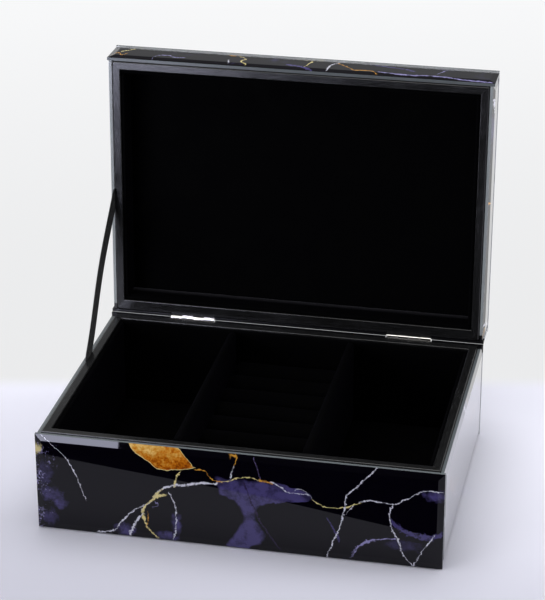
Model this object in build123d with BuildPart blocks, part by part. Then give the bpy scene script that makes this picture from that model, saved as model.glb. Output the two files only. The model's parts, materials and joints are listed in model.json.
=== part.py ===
from build123d import *
import os
from math import atan2, cos, degrees, radians, sin

# Jewelry gift box with a hinged lid, in millimetres. +X is to the right, +Y to the back and
# +Z up. The origin is the centre of the underside. The base stands closed-side up, and every
# lid piece is laid out in the closed position, then turned open about the hinge pin.

# Outer size
box_width = 240.0
box_depth = 172.0
rim_height = 63.0
lid_height = 25.0
seam_gap = 0.4
open_angle = 91.5

# Glass panels, bevelled on the outer face and bonded to the boards
glass_thickness = 2.8
bevel_depth = 1.0
bevel_width = 3.8
glass_rim_drop = 0.8
glass_floor_clearance = 0.6
adhesive_thickness = 0.6
adhesive_inset = 1.4

# Boards
board_thickness = 4.8
rear_board_thickness = 6.2
bottom_thickness = 4.0
lid_board_thickness = 3.0
rim_edge_radius = 0.5

# Soft linings
felt_thickness = 1.0
felt_inset = 1.0
floor_lining_thickness = 2.0
wall_lining_thickness = 2.6
lid_panel_lining_thickness = 1.6
lining_drop = 1.0
lining_edge_radius = 1.0
divider_thickness = 5.0
divider_x = 38.0
divider_edge_radius = 1.6

# Ring rolls on their foam block
roll_count = 8
roll_top_height = 45.0
roll_radius = 9.1
roll_end_radius = 4.0
roll_clearance = 0.1
insert_clearance = 0.3

# Hinges
hinge_positions = {"left": -66.7, "right": 72.8}
hinge_length = 28.4
knuckle_count = 4
knuckle_radius = 1.0
knuckle_gap = 0.3
pin_radius = 0.5
pin_running_clearance = 0.05
pin_inset = 0.1
leaf_thickness = 0.8
leaf_height = 10.0
leaf_web_clearance = 0.35
leaf_web_overlap = 0.35
glass_notch_depth = 1.5
glass_notch_clearance = 0.4
screw_spacing = 18.0
screw_drop = 6.0
screw_head_radius = 1.7
screw_radius = 0.9
screw_length = 4.6
screw_tip = 0.8

# Ribbon lid stay, in the left seam between board and glass
ribbon_width = 12.0
ribbon_thickness = 0.45
ribbon_base_reach = 67.5
ribbon_lid_reach = 78.5
ribbon_tab = 12.0
ribbon_pocket_margin = 1.0

# Derived levels and faces
half_width = box_width / 2
half_depth = box_depth / 2
cover_thickness = glass_thickness + adhesive_thickness
wood_half_width = half_width - cover_thickness
wood_half_depth = half_depth - cover_thickness
cavity_half_width = wood_half_width - board_thickness
cavity_front = -wood_half_depth + board_thickness
cavity_rear = wood_half_depth - rear_board_thickness
cavity_depth = cavity_rear - cavity_front
cavity_middle = (cavity_rear + cavity_front) / 2
lined_front = cavity_front + wall_lining_thickness
lined_rear = cavity_rear - wall_lining_thickness
lined_depth = lined_rear - lined_front
lined_middle = (lined_rear + lined_front) / 2
floor_level = felt_thickness + bottom_thickness
lined_floor = floor_level + floor_lining_thickness
lining_top = rim_height - lining_drop
lid_rim = rim_height + seam_gap
lid_top = lid_rim + lid_height
lid_board_top = lid_top - cover_thickness
lid_board_underside = lid_board_top - lid_board_thickness
lid_panel_lining_underside = lid_board_underside - lid_panel_lining_thickness
insert_width = 2 * divider_x - divider_thickness - 2 * insert_clearance
insert_depth = lined_depth - 2 * insert_clearance
pin_y = half_depth - bevel_depth - pin_inset
pin_z = rim_height + seam_gap / 2

closed_pose = Location()
lid_pose = (
    Location((0, pin_y, pin_z))
    * Location((0, 0, 0), (-open_angle, 0, 0))
    * Location((0, -pin_y, -pin_z))
)

outward = {
    "front": Vector(0, -1, 0),
    "rear": Vector(0, 1, 0),
    "left": Vector(-1, 0, 0),
    "right": Vector(1, 0, 0),
}

os.makedirs("parts", exist_ok=True)


def save(piece, label):
    piece.label = label
    export_step(piece, f"parts/{label}.step")


def posed(pose, plane):
    """A plane of the closed box, carried by the pose."""
    return Plane(pose * plane.location)


def level_plane(pose, height):
    """A plane facing up at a height of the closed box, carried by the pose."""
    return posed(pose, Plane.XY.offset(height))


def wall_plane(pose, side, distance, height):
    """A plane facing out of one side at a distance from the middle, carried by the pose."""
    normal = outward[side]
    origin = normal * distance + Vector(0, 0, height)
    return posed(pose, Plane(origin=origin, x_dir=Vector(0, 0, 1).cross(normal), z_dir=normal))


# Boards of the base and of the lid frame

def board_outline(side):
    """The mitred outline of one wall board, as seen from above."""
    outer = {
        "front_left": (-wood_half_width, -wood_half_depth),
        "front_right": (wood_half_width, -wood_half_depth),
        "rear_right": (wood_half_width, wood_half_depth),
        "rear_left": (-wood_half_width, wood_half_depth),
    }
    inner = {
        "front_left": (-cavity_half_width, cavity_front),
        "front_right": (cavity_half_width, cavity_front),
        "rear_right": (cavity_half_width, cavity_rear),
        "rear_left": (-cavity_half_width, cavity_rear),
    }
    ends = {
        "front": ("front_left", "front_right"),
        "right": ("front_right", "rear_right"),
        "rear": ("rear_right", "rear_left"),
        "left": ("rear_left", "front_left"),
    }
    start, end = ends[side]
    return [outer[start], outer[end], inner[end], inner[start]]


def hinge_screw_planes(pose, direction, position):
    """The planes of one leaf's two screw heads, facing out of the rear board."""
    height = pin_z + direction * (seam_gap / 2 + screw_drop)
    offsets = (-screw_spacing / 2, screw_spacing / 2)
    heads = [Vector(position + offset, wood_half_depth, height) for offset in offsets]
    return [posed(pose, Plane(origin=head, x_dir=(-1, 0, 0), z_dir=(0, 1, 0))) for head in heads]


def wall_board(pose, side, rim, height, direction):
    """A wall board that starts at its rim and runs away from it, with softened rim edges.

    The rear board is let in for the hinge leaves and drilled for their screws.
    """
    rim_plane = level_plane(pose, rim)
    with BuildPart() as board:
        with BuildSketch(rim_plane):
            Polygon(*board_outline(side), align=None)
        extrude(amount=direction * height)
        rim_faces = board.faces().sort_by(Axis(rim_plane.origin, rim_plane.z_dir))
        rim_face = rim_faces[0] if direction > 0 else rim_faces[-1]
        fillet(rim_face.edges().sort_by(SortBy.LENGTH)[-2:], radius=rim_edge_radius)
        if side == "rear":
            with BuildSketch(rim_plane):
                for position in hinge_positions.values():
                    with Locations((position, wood_half_depth - leaf_thickness / 2)):
                        Rectangle(hinge_length, leaf_thickness)
            extrude(amount=direction * leaf_height, mode=Mode.SUBTRACT)
            for position in hinge_positions.values():
                for plane in hinge_screw_planes(pose, direction, position):
                    add(screw(plane), mode=Mode.SUBTRACT)
    return board.part


def screw(plane):
    """A countersunk screw whose head is flush with the plane."""
    profile_plane = Plane(origin=plane.origin, x_dir=plane.x_dir, z_dir=-plane.y_dir)
    with BuildPart(mode=Mode.PRIVATE) as piece:
        with BuildSketch(profile_plane):
            Polygon(
                (0, 0),
                (screw_head_radius, 0),
                (screw_radius, -leaf_thickness),
                (screw_radius, -screw_length + screw_tip),
                (0, -screw_length),
                align=None,
            )
        revolve(axis=Axis(plane.origin, plane.z_dir))
    return piece.part


for side in outward:
    base_board = wall_board(closed_pose, side, rim_height, rim_height - felt_thickness, -1)
    save(base_board, f"base_board_{side}")
    lid_board = wall_board(lid_pose, side, lid_rim, lid_board_underside - lid_rim, 1)
    save(lid_board, f"lid_board_{side}")

with BuildPart() as base_bottom_board:
    with BuildSketch(level_plane(closed_pose, felt_thickness)):
        with Locations((0, cavity_middle)):
            Rectangle(2 * cavity_half_width, cavity_depth)
    extrude(amount=bottom_thickness)
save(base_bottom_board.part, "base_bottom_board")

with BuildPart() as lid_top_board:
    with BuildSketch(level_plane(lid_pose, lid_board_underside)):
        Rectangle(2 * wood_half_width, 2 * wood_half_depth)
    extrude(amount=lid_board_thickness)
save(lid_top_board.part, "lid_top_board")

with BuildPart() as underside_felt:
    with BuildSketch(level_plane(closed_pose, 0)):
        Rectangle(2 * (wood_half_width - felt_inset), 2 * (wood_half_depth - felt_inset))
    extrude(amount=felt_thickness)
save(underside_felt.part, "underside_felt")


# Glass panels

def bevelled_glass(plane, length, width):
    """A panel on the plane of its inner face, with the outer face bevelled all round."""
    edge_thickness = glass_thickness - bevel_depth
    with BuildPart() as glass:
        with BuildSketch(plane):
            Rectangle(length, width)
        extrude(amount=edge_thickness)
        with BuildSketch(plane.offset(edge_thickness)):
            Rectangle(length, width)
        extrude(amount=bevel_depth, taper=degrees(atan2(bevel_width, bevel_depth)))
    return glass.part


def wall_glass(pose, side, rim, far_edge, direction):
    """A wall panel between its rim and its far edge, a little below the rim of the wood.

    The rear one is flush with the rim and notched for the hinges.
    """
    across = side in ("front", "rear")
    length = box_width if across else 2 * (half_depth - glass_thickness)
    distance = (half_depth if across else half_width) - glass_thickness
    near_edge = rim if side == "rear" else rim + direction * glass_rim_drop
    plane = wall_plane(pose, side, distance, (near_edge + far_edge) / 2)
    panel = bevelled_glass(plane, length, abs(near_edge - far_edge))
    if side != "rear":
        return panel
    with BuildPart() as notched:
        add(panel)
        with BuildSketch(level_plane(pose, rim)):
            for position in hinge_positions.values():
                with Locations((position, half_depth)):
                    Rectangle(hinge_length + 2 * glass_notch_clearance, 4 * glass_thickness)
        extrude(amount=direction * glass_notch_depth, mode=Mode.SUBTRACT)
    return notched.part


lid_wall_glass_top = lid_top - glass_thickness
for side in outward:
    save(wall_glass(closed_pose, side, rim_height, glass_floor_clearance, -1), f"base_glass_{side}")
    save(wall_glass(lid_pose, side, lid_rim, lid_wall_glass_top, 1), f"lid_glass_{side}")
save(bevelled_glass(level_plane(lid_pose, lid_wall_glass_top), box_width, box_depth), "lid_glass_top")


# Ribbon stay, straight from its seam in the base to its seam in the lid

ribbon_base_exit = Vector(pin_y - ribbon_base_reach, rim_height)
lid_exit_y = -ribbon_lid_reach
lid_exit_z = seam_gap / 2
tilt = radians(open_angle)
ribbon_lid_exit = Vector(
    pin_y + lid_exit_y * cos(tilt) + lid_exit_z * sin(tilt),
    pin_z - lid_exit_y * sin(tilt) + lid_exit_z * cos(tilt),
)
ribbon_along = (ribbon_lid_exit - ribbon_base_exit).normalized()
ribbon_across = Vector(-ribbon_along.Y, ribbon_along.X)
ribbon_start = ribbon_base_exit - ribbon_along * ribbon_tab
ribbon_end = ribbon_lid_exit + ribbon_along * ribbon_tab
seam_middle_x = wood_half_width + adhesive_thickness / 2

ribbon_half = ribbon_across * ribbon_width / 2
ribbon_corners = [
    ribbon_start - ribbon_half,
    ribbon_end - ribbon_half,
    ribbon_end + ribbon_half,
    ribbon_start + ribbon_half,
]

with BuildPart() as ribbon_stay:
    with BuildSketch(Plane.YZ.offset(-seam_middle_x - ribbon_thickness / 2)):
        Polygon(*[(corner.X, corner.Y) for corner in ribbon_corners], align=None)
    extrude(amount=ribbon_thickness)
save(ribbon_stay.part, "ribbon_stay")


# Adhesive beds, short of every glass edge, open where the ribbon is held

def adhesive_bed(pose, side, rim, far_edge, pocket_y):
    """One wall's bed, with a pocket for the ribbon where a pocket centre is given."""
    across = side in ("front", "rear")
    length = 2 * ((wood_half_width if across else wood_half_depth) - adhesive_inset)
    distance = wood_half_depth if across else wood_half_width
    low = min(rim, far_edge) + adhesive_inset
    high = max(rim, far_edge) - adhesive_inset
    with BuildPart(mode=Mode.PRIVATE) as bed:
        with BuildSketch(wall_plane(pose, side, distance, (low + high) / 2)):
            Rectangle(length, high - low)
        extrude(amount=adhesive_thickness)
        if pocket_y is not None:
            with BuildSketch(wall_plane(pose, side, distance, rim)):
                with Locations((-pocket_y, 0)):
                    Rectangle(ribbon_pocket_width, 2 * ribbon_pocket_depth)
            extrude(amount=adhesive_thickness, mode=Mode.SUBTRACT)
    return bed.part


ribbon_slant = atan2(ribbon_along.Y, ribbon_along.X)
ribbon_tab_depth = ribbon_tab * sin(ribbon_slant) + ribbon_width / 2 * cos(ribbon_slant)
ribbon_pocket_depth = ribbon_tab_depth + ribbon_pocket_margin
ribbon_pocket_width = 2 * ribbon_width + 2 * ribbon_tab * cos(ribbon_slant)

with BuildPart() as base_adhesive:
    for side in outward:
        pocket = pin_y - ribbon_base_reach if side == "left" else None
        add(adhesive_bed(closed_pose, side, rim_height, glass_floor_clearance, pocket))
save(base_adhesive.part, "base_adhesive")

with BuildPart() as lid_adhesive:
    for side in outward:
        pocket = pin_y - ribbon_lid_reach if side == "left" else None
        add(adhesive_bed(lid_pose, side, lid_rim, lid_wall_glass_top, pocket))
    with BuildSketch(level_plane(lid_pose, lid_board_top)):
        Rectangle(2 * (wood_half_width - adhesive_inset), 2 * (wood_half_depth - adhesive_inset))
    extrude(amount=adhesive_thickness)
save(lid_adhesive.part, "lid_adhesive")


# Velvet linings

def wall_lining(pose, side, rim, far_edge, direction):
    """A velvet-covered card on the inner face of one wall, with a soft edge along the rim."""
    across = side in ("front", "rear")
    length = 2 * cavity_half_width if across else lined_depth
    distances = {
        "front": -cavity_front,
        "rear": cavity_rear,
        "left": cavity_half_width,
        "right": cavity_half_width,
    }
    plane = wall_plane(pose, side, distances[side], (rim + far_edge) / 2)
    shift = 0 if across else (lined_middle if side == "right" else -lined_middle)
    rim_axis = Axis(plane.origin, plane.y_dir)
    with BuildPart() as lining:
        with BuildSketch(plane):
            with Locations((shift, 0)):
                Rectangle(length, abs(rim - far_edge))
        extrude(amount=-wall_lining_thickness)
        rim_edges = lining.faces().sort_by(rim_axis)[0 if direction > 0 else -1].edges()
        inner_edge = rim_edges.sort_by(Axis(plane.origin, plane.z_dir))[0]
        fillet(inner_edge, radius=lining_edge_radius)
    return lining.part


for side in outward:
    base_lining = wall_lining(closed_pose, side, lining_top, lined_floor, -1)
    save(base_lining, f"base_lining_{side}")
    lid_lining = wall_lining(lid_pose, side, lid_rim + lining_drop, lid_panel_lining_underside, 1)
    save(lid_lining, f"lid_lining_{side}")

with BuildPart() as base_lining_floor:
    with BuildSketch(level_plane(closed_pose, floor_level)):
        with Locations((0, cavity_middle)):
            Rectangle(2 * cavity_half_width, cavity_depth)
    extrude(amount=floor_lining_thickness)
save(base_lining_floor.part, "base_lining_floor")

with BuildPart() as lid_lining_panel:
    with BuildSketch(level_plane(lid_pose, lid_panel_lining_underside)):
        with Locations((0, cavity_middle)):
            Rectangle(2 * cavity_half_width, cavity_depth)
    extrude(amount=lid_panel_lining_thickness)
save(lid_lining_panel.part, "lid_lining_panel")

for side, position in (("left", -divider_x), ("right", divider_x)):
    with BuildPart() as divider:
        with BuildSketch(level_plane(closed_pose, lined_floor)):
            with Locations((position, lined_middle)):
                Rectangle(divider_thickness, lined_depth)
        extrude(amount=lining_top - lined_floor)
        fillet(divider.faces().sort_by(Axis.Z)[-1].edges().filter_by(Axis.Y), radius=divider_edge_radius)
    save(divider.part, f"divider_{side}")


# Ring rolls on a foam block between the dividers

roll_axis_height = roll_top_height - roll_radius
roll_pitch = insert_depth / roll_count

with BuildPart() as foam_block:
    with BuildSketch(level_plane(closed_pose, lined_floor)):
        with Locations((0, lined_middle)):
            Rectangle(insert_width, insert_depth)
    extrude(amount=roll_axis_height - roll_radius - roll_clearance - lined_floor)
save(foam_block.part, "foam_block")

for index in range(roll_count):
    roll_y = lined_middle - insert_depth / 2 + roll_pitch * (index + 0.5)
    with BuildPart() as ring_roll:
        with BuildSketch(Plane.YZ.offset(-insert_width / 2)):
            with Locations((roll_y, roll_axis_height)):
                Circle(roll_radius)
        extrude(amount=insert_width)
        fillet(ring_roll.edges().filter_by(GeomType.CIRCLE), radius=roll_end_radius)
    save(ring_roll.part, f"ring_roll_{index + 1}")


# Hinges, whose leaves are let into the rear boards under the glass

knuckle_pitch = hinge_length / knuckle_count


def hinge_leaf(pose, position, direction, first_knuckle, bore_radius):
    """An angled leaf: a leg on the rear board, a web across the glass edge, and its knuckles."""
    start = position - hinge_length / 2
    rim = pin_z + direction * seam_gap / 2
    leg_front = wood_half_depth - leaf_thickness
    web_rear = pin_y - knuckle_radius - leaf_web_clearance
    web_joint = pin_y - knuckle_radius + leaf_web_overlap
    with BuildPart() as leaf:
        with BuildSketch(posed(pose, Plane.YZ.offset(start))):
            Polygon(
                (leg_front, rim),
                (web_rear, rim),
                (web_rear, rim + direction * leaf_thickness),
                (wood_half_depth, rim + direction * leaf_thickness),
                (wood_half_depth, rim + direction * leaf_height),
                (leg_front, rim + direction * leaf_height),
                align=None,
            )
        extrude(amount=hinge_length)
        for index in range(first_knuckle, knuckle_count, 2):
            knuckle_start = start + index * knuckle_pitch + knuckle_gap / 2
            with BuildSketch(posed(pose, Plane.YZ.offset(knuckle_start))):
                with Locations((pin_y, pin_z)):
                    Circle(knuckle_radius)
                with Locations(((web_rear + web_joint) / 2, rim + direction * leaf_thickness / 2)):
                    Rectangle(web_joint - web_rear, leaf_thickness)
            extrude(amount=knuckle_pitch - knuckle_gap)
        with BuildSketch(posed(pose, Plane.YZ.offset(start))):
            with Locations((pin_y, pin_z)):
                Circle(bore_radius)
        extrude(amount=hinge_length, mode=Mode.SUBTRACT)
        for plane in hinge_screw_planes(pose, direction, position):
            add(screw(plane), mode=Mode.SUBTRACT)
    return leaf.part


for side, position in hinge_positions.items():
    base_leaf = hinge_leaf(closed_pose, position, -1, 0, pin_radius)
    save(base_leaf, f"hinge_{side}_base_leaf")
    lid_leaf = hinge_leaf(lid_pose, position, 1, 1, pin_radius + pin_running_clearance)
    save(lid_leaf, f"hinge_{side}_lid_leaf")
    with BuildPart() as hinge_pin:
        with BuildSketch(Plane.YZ.offset(position - hinge_length / 2 + knuckle_gap / 2)):
            with Locations((pin_y, pin_z)):
                Circle(pin_radius)
        extrude(amount=hinge_length - knuckle_gap)
    save(hinge_pin.part, f"hinge_{side}_pin")

with BuildPart() as hinge_base_screws:
    for position in hinge_positions.values():
        for plane in hinge_screw_planes(closed_pose, -1, position):
            add(screw(plane))
save(hinge_base_screws.part, "hinge_base_screws")

with BuildPart() as hinge_lid_screws:
    for position in hinge_positions.values():
        for plane in hinge_screw_planes(lid_pose, 1, position):
            add(screw(plane))
save(hinge_lid_screws.part, "hinge_lid_screws")
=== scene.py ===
import json
import math

import bmesh
import bpy
from mathutils import Matrix, Vector, noise


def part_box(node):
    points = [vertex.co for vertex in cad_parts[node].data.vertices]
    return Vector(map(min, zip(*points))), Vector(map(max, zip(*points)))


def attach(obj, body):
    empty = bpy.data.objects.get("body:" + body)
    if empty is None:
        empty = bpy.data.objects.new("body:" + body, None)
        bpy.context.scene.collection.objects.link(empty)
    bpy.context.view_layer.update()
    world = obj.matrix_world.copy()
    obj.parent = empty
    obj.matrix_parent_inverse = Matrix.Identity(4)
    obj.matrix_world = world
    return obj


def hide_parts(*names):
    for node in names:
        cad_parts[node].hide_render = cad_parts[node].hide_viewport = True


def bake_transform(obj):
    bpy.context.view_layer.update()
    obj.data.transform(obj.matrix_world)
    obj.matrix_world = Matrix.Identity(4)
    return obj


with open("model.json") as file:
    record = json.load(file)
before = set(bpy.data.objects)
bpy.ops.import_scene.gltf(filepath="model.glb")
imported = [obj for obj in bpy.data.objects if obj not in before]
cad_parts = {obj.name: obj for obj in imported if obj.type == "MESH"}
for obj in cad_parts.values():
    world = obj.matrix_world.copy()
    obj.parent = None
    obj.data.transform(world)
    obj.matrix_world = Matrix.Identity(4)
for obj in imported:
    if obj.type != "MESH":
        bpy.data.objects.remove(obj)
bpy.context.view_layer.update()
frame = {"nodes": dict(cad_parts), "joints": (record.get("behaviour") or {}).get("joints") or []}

MM = 0.001

# ---------- places taken from the frame

RIM_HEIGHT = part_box("base_board_left")[1].z
PIN_LOW, PIN_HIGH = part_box("hinge_left_pin")
HINGE = Vector((0, (PIN_LOW.y + PIN_HIGH.y) / 2, (PIN_LOW.z + PIN_HIGH.z) / 2))
OPEN_ANGLE = math.radians(frame["joints"][0]["range_deg"][1])

# The lid is laid out closed and turned open about its hinge line.
LID_TURN = Matrix.Rotation(-OPEN_ANGLE, 3, "X")
LID_OPENING = Matrix.Translation(HINGE) @ LID_TURN.to_4x4() @ Matrix.Translation(-HINGE)
NO_TURN = Matrix.Identity(4)
FRONTWARD = Vector((0, -1, 0))
REARWARD = Vector((0, 1, 0))
LEFTWARD = Vector((-1, 0, 0))
RIGHTWARD = Vector((1, 0, 0))
UPWARD = Vector((0, 0, 1))
WALLS = ("front", "rear", "left", "right")


def closed_box(node, opening):
    """Lowest and highest corners of a node in the closed layout, where its sides are square to the axes."""
    back = opening.inverted()
    points = [back @ vertex.co for vertex in frame["nodes"][node].data.vertices]
    low = Vector(min(point[axis] for point in points) for axis in range(3))
    high = Vector(max(point[axis] for point in points) for axis in range(3))
    return low, high


# ---------- shader helpers


class Nodes:
    """Short forms of the nodes that the patterns are built from."""

    def __init__(self, tree):
        self.tree = tree

    def put(self, socket, value):
        """Links a node output to the socket, or sets a constant on it."""
        if isinstance(value, bpy.types.NodeSocket):
            self.tree.links.new(value, socket)
        else:
            socket.default_value = value

    def node(self, kind, inputs, **settings):
        """A new node, with its settings made first and its inputs linked or set."""
        made = self.tree.nodes.new(kind)
        for name, value in settings.items():
            setattr(made, name, value)
        for key, value in inputs.items():
            self.put(made.inputs[key], value)
        return made

    def math(self, operation, *values, clamp=False):
        inputs = dict(enumerate(values))
        return self.node("ShaderNodeMath", inputs, operation=operation, use_clamp=clamp).outputs[0]

    def plus(self, first, second):
        return self.math("ADD", first, second)

    def minus(self, first, second):
        return self.math("SUBTRACT", first, second)

    def times(self, first, second):
        return self.math("MULTIPLY", first, second)

    def vector(self, operation, *values):
        inputs = dict(enumerate(values))
        made = self.node("ShaderNodeVectorMath", inputs, operation=operation)
        return made.outputs["Value" if operation in ("DOT_PRODUCT", "LENGTH") else "Vector"]

    def scaled(self, vector, factor):
        made = self.node("ShaderNodeVectorMath", {0: vector, "Scale": factor}, operation="SCALE")
        return made.outputs["Vector"]

    def coordinate(self, kind="Object"):
        return self.node("ShaderNodeTexCoord", {}).outputs[kind]

    def parts(self, vector):
        return self.node("ShaderNodeSeparateXYZ", {0: vector}).outputs

    def noise(self, vector, scale, detail=3.0, roughness=0.55, output="Fac"):
        inputs = {"Vector": vector, "Scale": scale, "Detail": detail, "Roughness": roughness}
        return self.node("ShaderNodeTexNoise", inputs).outputs[output]

    def smooth(self, value, low, high, start=0.0, end=1.0):
        """A soft step: start below low, end above high."""
        inputs = {"Value": value, "From Min": low, "From Max": high, "To Min": start, "To Max": end}
        made = self.node("ShaderNodeMapRange", inputs, interpolation_type="SMOOTHSTEP")
        return made.outputs["Result"]

    def mix(self, factor, first, second):
        inputs = {0: factor, 6: first, 7: second}
        return self.node("ShaderNodeMix", inputs, data_type="RGBA").outputs[2]


class Shader(Nodes):
    """A material of one principled surface; its constants are set directly on the sockets."""

    def __init__(self, name, **constants):
        self.material = bpy.data.materials.new(name)
        self.material.use_nodes = True
        super().__init__(self.material.node_tree)
        self.surface = self.tree.nodes["Principled BSDF"]
        for socket, value in constants.items():
            self.surface.inputs[socket.replace("_", " ")].default_value = value

    def point(self):
        """The place on the object, in millimetres."""
        return self.scaled(self.coordinate(), 1 / MM)

    def finish(self, colour, roughness, height=None, distance=0.0001, strength=1.0, metallic=None):
        """Puts the patterns on the surface; distance is the depth of the relief, in metres."""
        self.put(self.surface.inputs["Base Color"], colour)
        self.put(self.surface.inputs["Roughness"], roughness)
        if metallic is not None:
            self.put(self.surface.inputs["Metallic"], metallic)
        if height is not None:
            inputs = {"Height": height, "Distance": distance, "Strength": strength}
            bump = self.node("ShaderNodeBump", inputs)
            self.put(self.surface.inputs["Normal"], bump.outputs["Normal"])
        return self.material


def grey(value, tint=(1.0, 1.0, 1.0)):
    """A neutral colour, or one leaning to the tint."""
    return (value * tint[0], value * tint[1], value * tint[2], 1.0)


# ---------- the marble print

WHITE_VEIN = (0.62, 0.62, 0.72, 1.0)
CREAM_VEIN = (0.66, 0.56, 0.25, 1.0)
GOLD_VEIN = (0.56, 0.27, 0.04, 1.0)
PLUM_VEIN = (0.14, 0.11, 0.24, 1.0)
PALE_PLUM = (0.26, 0.24, 0.46, 1.0)
DEEP_PLUM = (0.022, 0.014, 0.045, 1.0)
GROUND = (0.0012, 0.0008, 0.0028, 1.0)
PLUM_CLOUD = (0.060, 0.050, 0.155, 1.0)

# Each vein is (axis it runs along, half width, colour, points), with points (along, across), in millimetres.
# Across the panel x runs from -120 to 120, and up the panel z runs from 0 to 63.
FRONT_VEINS = (
    ("x", 2.0, PLUM_CLOUD, ((90, 29), (95, 25), (102, 22), (110, 21), (119, 23))),
    ("z", 0.8, PLUM_CLOUD, ((12, 60), (20, 57), (27, 53))),
    ("x", 0.45, PALE_PLUM, ((67, 1), (69, 8), (73, 12), (78, 15), (85, 17), (93, 18))),
    ("x", 1.0, PALE_PLUM, ((68, 3), (72, 11), (78, 15), (81, 16))),
    ("z", 0.22, PLUM_VEIN, ((48, 14), (61, 10))),
    ("z", 0.6, DEEP_PLUM, ((2, 26), (12, 19), (22, 13), (36, 7), (45, 4))),
    ("z", 0.30, WHITE_VEIN, ((22, -90), (28, -92), (36, -95), (48, -101), (62, -116))),
    ("z", 0.22, WHITE_VEIN, ((46, -4), (55, -1))),
    ("z", 0.40, GOLD_VEIN, ((55, -1), (59, 0), (63, -1))),
    ("x", 1.3, GOLD_VEIN, ((-4, 61), (0, 61))),
    ("x", 0.40, GOLD_VEIN, ((-25, 50), (-21, 50), (-17, 47), (-13, 44), (-8, 43))),
    ("x", 0.34, CREAM_VEIN, ((-9, 43), (-4, 45), (1, 47), (6, 48), (14, 47))),
    ("x", 0.75, GOLD_VEIN, ((13, 47), (21, 46))),
    ("x", 0.30, WHITE_VEIN, ((20, 47), (27, 43), (31, 41), (41, 41), (45, 37))),
    ("x", 0.22, WHITE_VEIN, ((34, 42), (36, 44), (40, 43), (42, 40))),
    ("x", 0.36, CREAM_VEIN, ((44, 38), (49, 35), (54, 34), (63, 35), (67, 37), (72, 39))),
    ("x", 0.36, WHITE_VEIN, ((71, 39), (76, 41), (81, 41), (91, 40), (96, 43), (100, 45))),
    ("x", 0.30, WHITE_VEIN, ((99, 44), (105, 49), (110, 51), (119, 51))),
    ("x", 0.75, WHITE_VEIN, ((-57, 19), (-49, 29), (-44, 35), (-37, 38), (-30, 39), (-22, 41), (-11, 42))),
    ("x", 1.1, CREAM_VEIN, ((-50, 27), (-46, 30), (-42, 31))),
    ("z", 0.42, CREAM_VEIN, ((37, -37), (41, -36), (48, -33))),
    ("z", 0.85, CREAM_VEIN, ((1, -47), (8, -53), (12, -55), (18, -56), (23, -54), (29, -49), (35, -44))),
    ("x", 0.55, WHITE_VEIN, ((-84, 1), (-75, 3), (-70, 9), (-62, 18), (-54, 24))),
    ("z", 0.85, WHITE_VEIN, ((1, -64), (8, -62), (12, -60), (17, -56))),
    ("z", 0.32, WHITE_VEIN, ((1, -38), (11, -36), (19, -36), (26, -37), (33, -40))),
    ("z", 0.30, GOLD_VEIN, ((9, -54), (13, -53), (19, -53))),
    ("z", 0.26, PALE_PLUM, ((22, -50), (24, -47), (26, -49))),
    ("z", 0.40, WHITE_VEIN, ((1, 53), (7, 55), (16, 58), (23, 61), (30, 62), (43, 64))),
    ("z", 0.55, WHITE_VEIN, ((42, 64), (44, 65), (49, 70), (54, 74), (63, 82))),
    ("z", 0.26, WHITE_VEIN, ((31, 64), (37, 68))),
    ("z", 0.40, WHITE_VEIN, ((1, 103), (7, 98), (17, 94), (26, 90), (33, 89), (40, 91))),
    ("z", 0.34, WHITE_VEIN, ((1, 103), (11, 108), (19, 113), (23, 115))),
)

# The lid's front strip, measured up from its lower edge when the lid is closed.
STRIP_VEINS = (
    ("x", 1.4, PLUM_CLOUD, ((-9, 7), (0, 5), (8, 1))),
    ("x", 1.0, PLUM_CLOUD, ((38, 19), (51, 16), (64, 13), (70, 10))),
    ("x", 0.55, PALE_PLUM, ((48, 5), (67, 3), (83, 4), (99, 2), (118, 1))),
    ("x", 0.5, PALE_PLUM, ((-92, 1), (-89, 8), (-83, 9), (-78, 6), (-72, 7))),
    ("z", 0.4, PALE_PLUM, ((8, 84), (18, 89))),
    ("x", 0.6, GOLD_VEIN, ((-118, 3), (-114, 8), (-112, 4), (-109, 10))),
    ("x", 0.5, CREAM_VEIN, ((-114, 10), (-108, 16), (-102, 22))),
    ("x", 0.8, GOLD_VEIN, ((-48, 19), (-44, 17), (-41, 21))),
    ("z", 0.6, CREAM_VEIN, ((2, -33), (8, -37), (12, -35), (17, -40))),
    ("z", 0.4, WHITE_VEIN, ((3, -44), (8, -45))),
    ("x", 0.7, CREAM_VEIN, ((-3, 19), (5, 18), (11, 21))),
    ("z", 0.4, CREAM_VEIN, ((5, 3), (17, 6))),
    ("z", 0.5, WHITE_VEIN, ((2, 17), (13, 19), (21, 25))),
    ("x", 0.6, GOLD_VEIN, ((22, 16), (30, 9), (35, 5), (41, 6), (48, 2))),
)

# Each cloud is (centre x, centre z, half width, half height, strength), in millimetres.
FRONT_CLOUDS = (
    (-111, 24, 7, 5, 0.7),
    (-106, 19, 5, 5, 1.0),
    (-115, 37, 5, 10, 0.45),
    (-112, 8, 5, 7, 0.55),
    (-67, 5, 7, 5, 1.0),
    (-42, 3, 9, 4, 0.9),
    (-36, 12, 3, 8, 0.8),
    (97, 14, 13, 4, 0.35),
    (114, 48, 8, 4, 1.0),
)

# The broad cloud hangs from the main vein and narrows to a neck; each side is (z, x).
NECK_LEFT = ((1, -5), (11, 0), (22, 4), (32, -2), (36, -9), (45, -12))
NECK_RIGHT = ((1, 7), (5, 13), (11, 16), (22, 11), (30, 13), (34, 26), (37, 43), (42, 41), (46, 25))
LEAF_LOWER = ((-64, 63), (-60, 57), (-51, 51), (-43, 47), (-36, 48), (-30, 49), (-24, 51))
LEAF_UPPER = ((-36, 64), (-31, 59), (-25, 51))

# A small gold cloud on the left edge.
GOLD_PATCH = (-120, 53, 5, 4, 0.8)

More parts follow.
